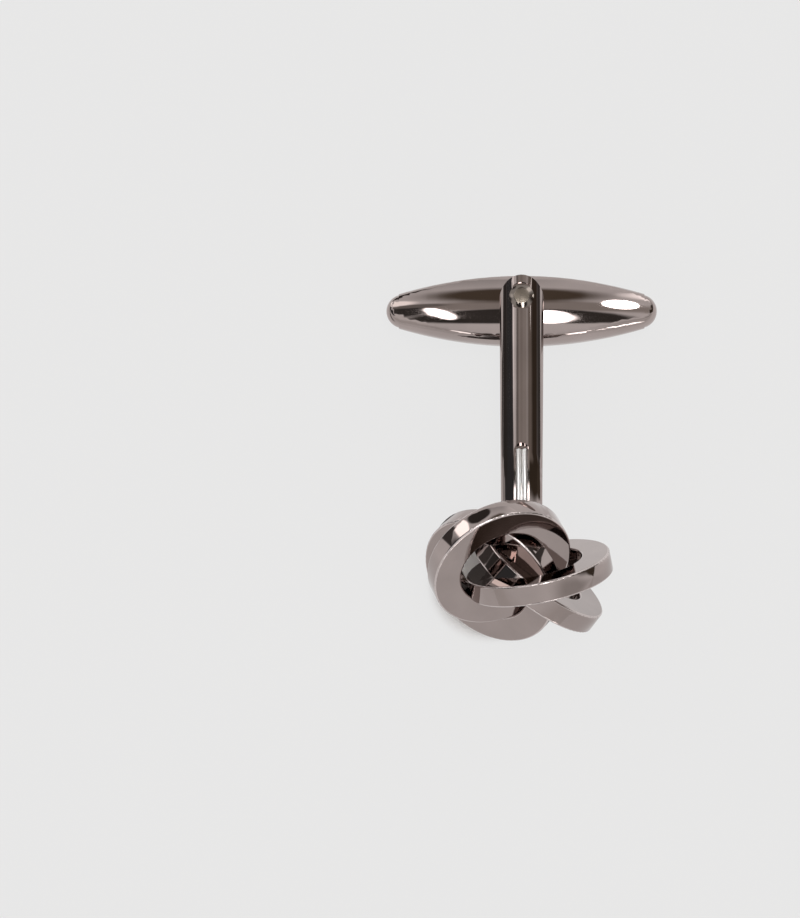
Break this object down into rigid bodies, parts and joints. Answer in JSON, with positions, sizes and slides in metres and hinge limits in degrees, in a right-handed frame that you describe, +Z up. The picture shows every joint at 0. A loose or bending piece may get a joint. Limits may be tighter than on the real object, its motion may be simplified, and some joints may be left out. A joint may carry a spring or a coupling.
{
  "type": "cufflink",
  "caption": "Cufflink with a knot of interlocked square-bar rings on a two-armed post, and a spring-held bullet toggle that swivels between the arms to lock it in a cuff.",
  "frame": {"origin": "middle of the cufflink's footprint as it lies on its knot and on the end of its post, on the ground", "axes": "+X along the toggle, +Y from the knot towards the toggle, +Z up; the post tips down towards the toggle by 9 degrees"},
  "size_m": [0.0202, 0.0276, 0.0137],
  "materials": {
    "gunmetal_plating": "mirror-polished dark gunmetal plating",
    "dark_metal": "the same plating, less polished inside the knot",
    "spring_steel": "plain spring steel"
  },
  "bodies": {
    "link": {"knot_ring_1": "gunmetal_plating", "knot_ring_2": "gunmetal_plating", "knot_ring_3": "gunmetal_plating", "knot_ring_4": "gunmetal_plating", "knot_hub": "dark_metal", "post_frame": "gunmetal_plating", "pivot_pin": "gunmetal_plating"},
    "toggle": {"toggle_shell_front": "gunmetal_plating", "toggle_shell_back": "gunmetal_plating", "toggle_tip_left": "gunmetal_plating", "toggle_tip_right": "gunmetal_plating", "toggle_spring": "spring_steel"}
  },
  "joints": [
    {"name": "toggle_swivel", "type": "hinge", "parent": "link", "child": "toggle", "pos_m": [0, 0.01109, 0.00386], "axis": [0, 0.1565, 0.9877], "range_deg": [-90, 90]}
  ]
}
